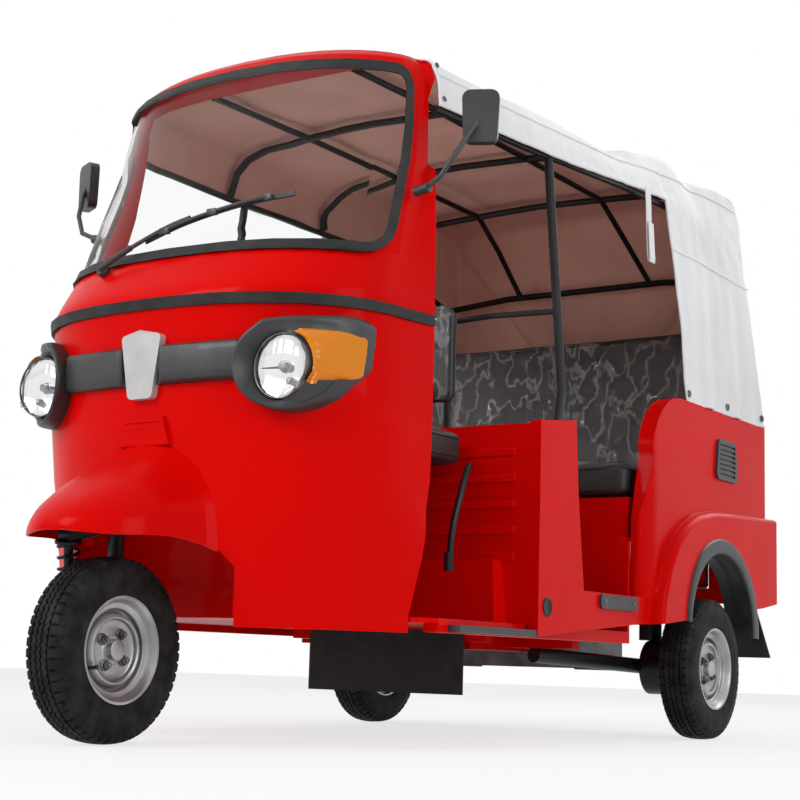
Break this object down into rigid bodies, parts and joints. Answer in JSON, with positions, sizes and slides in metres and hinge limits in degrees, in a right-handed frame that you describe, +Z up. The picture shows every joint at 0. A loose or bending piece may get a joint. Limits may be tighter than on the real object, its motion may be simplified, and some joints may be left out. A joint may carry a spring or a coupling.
{
  "type": "auto rickshaw",
  "caption": "Enclosed-front auto rickshaw with open sides, a fabric canopy on a tube frame, a driver's seat and a rear bench on single wheels front and at each rear side.",
  "frame": {"origin": "on the ground, at the centre of the outline's length and width", "axes": "+Z up, -Y toward the front, +X toward the vehicle's left side"},
  "size_m": [1.3642, 2.653, 1.7616],
  "materials": {
    "red_paint": "gloss red",
    "black_paint": "satin black",
    "dark_plastic": "dark grey moulded",
    "rubber": "black rubber",
    "seat_vinyl": "black vinyl",
    "clear_glass": "clear",
    "lamp_lens": "clear lens",
    "amber_lens": "amber",
    "red_lens": "red",
    "silver_plastic": "silver",
    "canopy_vinyl": "white coated cloth",
    "engine_metal": "plain",
    "tyre": "black",
    "silver_steel": "silver paint"
  },
  "bodies": {
    "body": {"chassis": "red_paint", "wheel_well": "red_paint", "steering_head": "black_paint", "cab_shell": "red_paint", "front_fender": "red_paint", "windscreen": "clear_glass", "windscreen_seal": "rubber", "belt_moulding": "rubber", "lamp_bar": "dark_plastic", "headlamps": "lamp_lens", "indicators": "amber_lens", "centre_shield": "silver_plastic", "dashboard": "dark_plastic", "wiper": "black_paint", "mirrors": "dark_plastic", "driver_seat": "seat_vinyl", "driver_backrest": "seat_vinyl", "guard_rail": "black_paint", "partition": "red_paint", "side_panels": "red_paint", "sill_trims": "dark_plastic", "rear_body": "red_paint", "arch_trims": "rubber", "vent_grilles": "dark_plastic", "tail_lamps": "red_lens", "bench_base": "red_paint", "bench_cushion": "seat_vinyl", "bench_backrest": "seat_vinyl", "canopy_frame": "black_paint", "canopy_cover": "canopy_vinyl", "engine_block": "engine_metal", "rear_arms": "black_paint", "rear_springs": "black_paint", "mud_flaps": "rubber"},
    "steering": {"steering_fork": "black_paint", "handlebar": "black_paint", "front_link": "black_paint", "front_spring": "black_paint"},
    "front_wheel": {"front_tyre": "tyre", "front_rim": "silver_steel"},
    "rear_left_wheel": {"rear_left_tyre": "tyre", "rear_left_rim": "silver_steel"},
    "rear_right_wheel": {"rear_right_tyre": "tyre", "rear_right_rim": "silver_steel"},
    "rear_lid": {"rear_lid": "red_paint"}
  },
  "joints": [
    {"name": "steering", "type": "hinge", "parent": "body", "child": "steering", "pos_m": [0, -1.0305, 0.48], "axis": [0, 0.309, 0.9511], "range_deg": [-40, 40]},
    {"name": "front_wheel_spin", "type": "hinge", "parent": "steering", "child": "front_wheel", "pos_m": [0, -1.1205, 0.206], "axis": [1, 0, 0], "continuous": true},
    {"name": "rear_left_wheel_spin", "type": "hinge", "parent": "body", "child": "rear_left_wheel", "pos_m": [0.585, 0.7995, 0.206], "axis": [1, 0, 0], "continuous": true},
    {"name": "rear_right_wheel_spin", "type": "hinge", "parent": "body", "child": "rear_right_wheel", "pos_m": [-0.585, 0.7995, 0.206], "axis": [1, 0, 0], "continuous": true},
    {"name": "rear_lid", "type": "hinge", "parent": "body", "child": "rear_lid", "pos_m": [0, 1.3175, 0.929], "axis": [1, 0, 0], "range_deg": [0, 75]}
  ]
}
